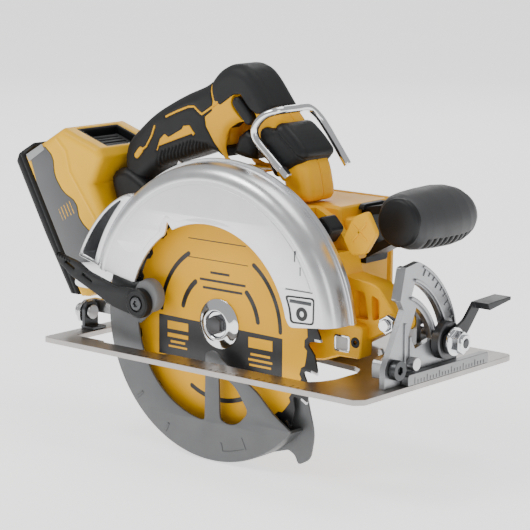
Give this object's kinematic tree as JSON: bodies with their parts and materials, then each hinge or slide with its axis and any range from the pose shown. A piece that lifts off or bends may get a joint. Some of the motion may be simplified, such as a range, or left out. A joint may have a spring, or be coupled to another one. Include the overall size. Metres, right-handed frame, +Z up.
{
  "type": "circular saw",
  "caption": "Cordless circular saw with a tilting, depth-adjustable shoe, fixed and retracting blade guards, D handle, knob handle and slide-on battery.",
  "frame": {"origin": "centre of the shoe's lower face, the sole", "axes": "+X the way the saw cuts, +Y from the blade towards the motor, +Z up from the sole"},
  "size_m": [0.3899, 0.184, 0.2818],
  "materials": {
    "shoe_steel": "satin ground plate with ruler marks along its edge",
    "bare_cast": "fine-grained die casting, not machined",
    "bright_steel": "polished zinc or chrome plating",
    "dark_steel": "oil-blackened steel",
    "guard_cast": "satin magnesium casting, brighter on the flat face",
    "lower_guard_grey": "satin grey paint on cast metal",
    "blade_paint": "baked yellow coat with black printing",
    "lever_paint": "black e-coat on pressed steel",
    "yellow_shell": "fine-textured moulded nylon",
    "battery_yellow": "fine-textured moulded plastic",
    "black_plastic": "fine-textured moulded plastic",
    "grip_rubber": "soft overmoulded rubber",
    "lens": "clear moulded lens",
    "winding": "enamelled copper windings"
  },
  "bodies": {
    "shoe": {"shoe_plate": "shoe_steel", "front_rail": "bare_cast", "bevel_quadrant": "bare_cast", "bevel_stop_pin": "bright_steel", "bevel_pivot_pin": "dark_steel", "rear_pivot_bracket": "dark_steel", "rear_pivot_pin": "bright_steel"},
    "fence_screw": {"fence_clamp_screw": "bright_steel"},
    "bevel_frame": {"front_trunnion": "bare_cast", "depth_bracket": "shoe_steel", "bevel_bolt": "bright_steel", "bevel_nut": "bright_steel", "depth_pivot_bolt": "bright_steel", "depth_pivot_nut": "bright_steel"},
    "bevel_clamp": {"bevel_lever": "lever_paint"},
    "saw_body": {"upper_guard": "guard_cast", "upper_guard_back": "guard_cast", "depth_bolt": "bright_steel", "guard_spring": "bright_steel", "gear_case": "yellow_shell", "led_lens": "lens", "motor_housing": "yellow_shell", "motor_end_cap": "yellow_shell", "stator": "winding", "controller": "dark_steel", "trigger_switch": "black_plastic", "handle_near_shell": "yellow_shell", "handle_far_shell": "yellow_shell", "grip_overmould": "grip_rubber", "hump_overmould": "grip_rubber", "hook_band": "black_plastic", "battery_receptacle": "black_plastic", "aux_handle_bracket": "black_plastic", "aux_handle": "grip_rubber", "aux_handle_cap": "black_plastic", "spindle_front_bearing": "bright_steel", "spindle_rear_bearing": "bright_steel", "motor_front_bearing": "bright_steel", "motor_rear_bearing": "bright_steel"},
    "depth_clamp": {"depth_lever": "black_plastic"},
    "blade": {"saw_blade": "blade_paint", "inner_flange": "bright_steel", "outer_flange": "bright_steel", "blade_bolt": "dark_steel", "spindle": "bright_steel", "output_gear": "dark_steel"},
    "motor_rotor": {"rotor": "dark_steel", "motor_shaft": "bright_steel", "cooling_fan": "black_plastic"},
    "blade_cover": {"lower_guard": "lower_guard_grey", "lower_guard_back": "lower_guard_grey", "guard_lever": "black_plastic", "guard_lever_screw": "bright_steel"},
    "trigger_body": {"trigger": "black_plastic"},
    "lock_off": {"lock_off_button": "black_plastic"},
    "spindle_lock": {"spindle_lock_button": "black_plastic"},
    "hook": {"rafter_hook": "bright_steel"},
    "battery": {"battery_case": "battery_yellow", "battery_bumper": "black_plastic"},
    "latch": {"battery_latch": "black_plastic"}
  },
  "joints": [
    {"name": "bevel_tilt", "type": "hinge", "parent": "shoe", "child": "bevel_frame", "pos_m": [-0.011, -0.046, 0.0163], "axis": [1, 0, 0], "range_deg": [0, 50]},
    {"name": "depth_swing", "type": "hinge", "parent": "bevel_frame", "child": "saw_body", "pos_m": [0.125, -0.0285, 0.0427], "axis": [0, 1, 0], "range_deg": [0, 27]},
    {"name": "bevel_lever_turn", "type": "hinge", "parent": "bevel_frame", "child": "bevel_clamp", "pos_m": [0.149, 0.00867, 0.02842], "axis": [1, 0, 0], "range_deg": [0, 40]},
    {"name": "depth_lever_turn", "type": "hinge", "parent": "saw_body", "child": "depth_clamp", "pos_m": [-0.076, -0.0285, 0.0345], "axis": [0, 1, 0], "range_deg": [0, 60]},
    {"name": "fence_screw_turn", "type": "hinge", "parent": "shoe", "child": "fence_screw", "pos_m": [0.118, -0.0235, 0.0085], "axis": [0, 0, 1], "continuous": true},
    {"name": "blade_spin", "type": "hinge", "parent": "saw_body", "child": "blade", "pos_m": [-0.011, -0.0485, 0.0265], "axis": [0, 1, 0], "continuous": true},
    {"name": "rotor_spin", "type": "hinge", "parent": "saw_body", "child": "motor_rotor", "pos_m": [0.006, 0.0115, 0.0427], "axis": [0, 1, 0], "continuous": true},
    {"name": "guard_retract", "type": "hinge", "parent": "saw_body", "child": "blade_cover", "pos_m": [-0.011, -0.0485, 0.0265], "axis": [0, 1, 0], "range_deg": [0, 130], "stiffness_Nm_per_rad": 0.25, "springref_deg": -60.16},
    {"name": "trigger_pull", "type": "hinge", "parent": "saw_body", "child": "trigger_body", "pos_m": [-0.018, -0.0025, 0.162], "axis": [0, 1, 0], "range_deg": [0, 12], "stiffness_Nm_per_rad": 0.6, "springref_deg": -8.02},
    {"name": "lock_off_press", "type": "slide", "parent": "saw_body", "child": "lock_off", "axis": [0, 1, 0], "range_m": [0, 0.003], "stiffness_N_per_m": 600, "springref_m": -0.002},
    {"name": "spindle_lock_press", "type": "slide", "parent": "saw_body", "child": "spindle_lock", "axis": [-0.7193, 0, -0.6947], "range_m": [0, 0.005], "stiffness_N_per_m": 500, "springref_m": -0.002},
    {"name": "hook_swing", "type": "hinge", "parent": "saw_body", "child": "hook", "pos_m": [0.004, -0.0265, 0.1565], "axis": [0.7715, 0, -0.6362], "range_deg": [0, 135]},
    {"name": "battery_slide", "type": "slide", "parent": "saw_body", "child": "battery", "axis": [-0.5, 0, 0.866], "range_m": [0, 0.075]},
    {"name": "latch_press", "type": "slide", "parent": "battery", "child": "latch", "axis": [-0.3089, 0, -0.9511], "range_m": [0, 0.003], "stiffness_N_per_m": 600, "springref_m": -0.002}
  ],
  "couplings": [
    {"joint": "rotor_spin", "follows": "blade_spin", "ratio": -3.8571}
  ]
}
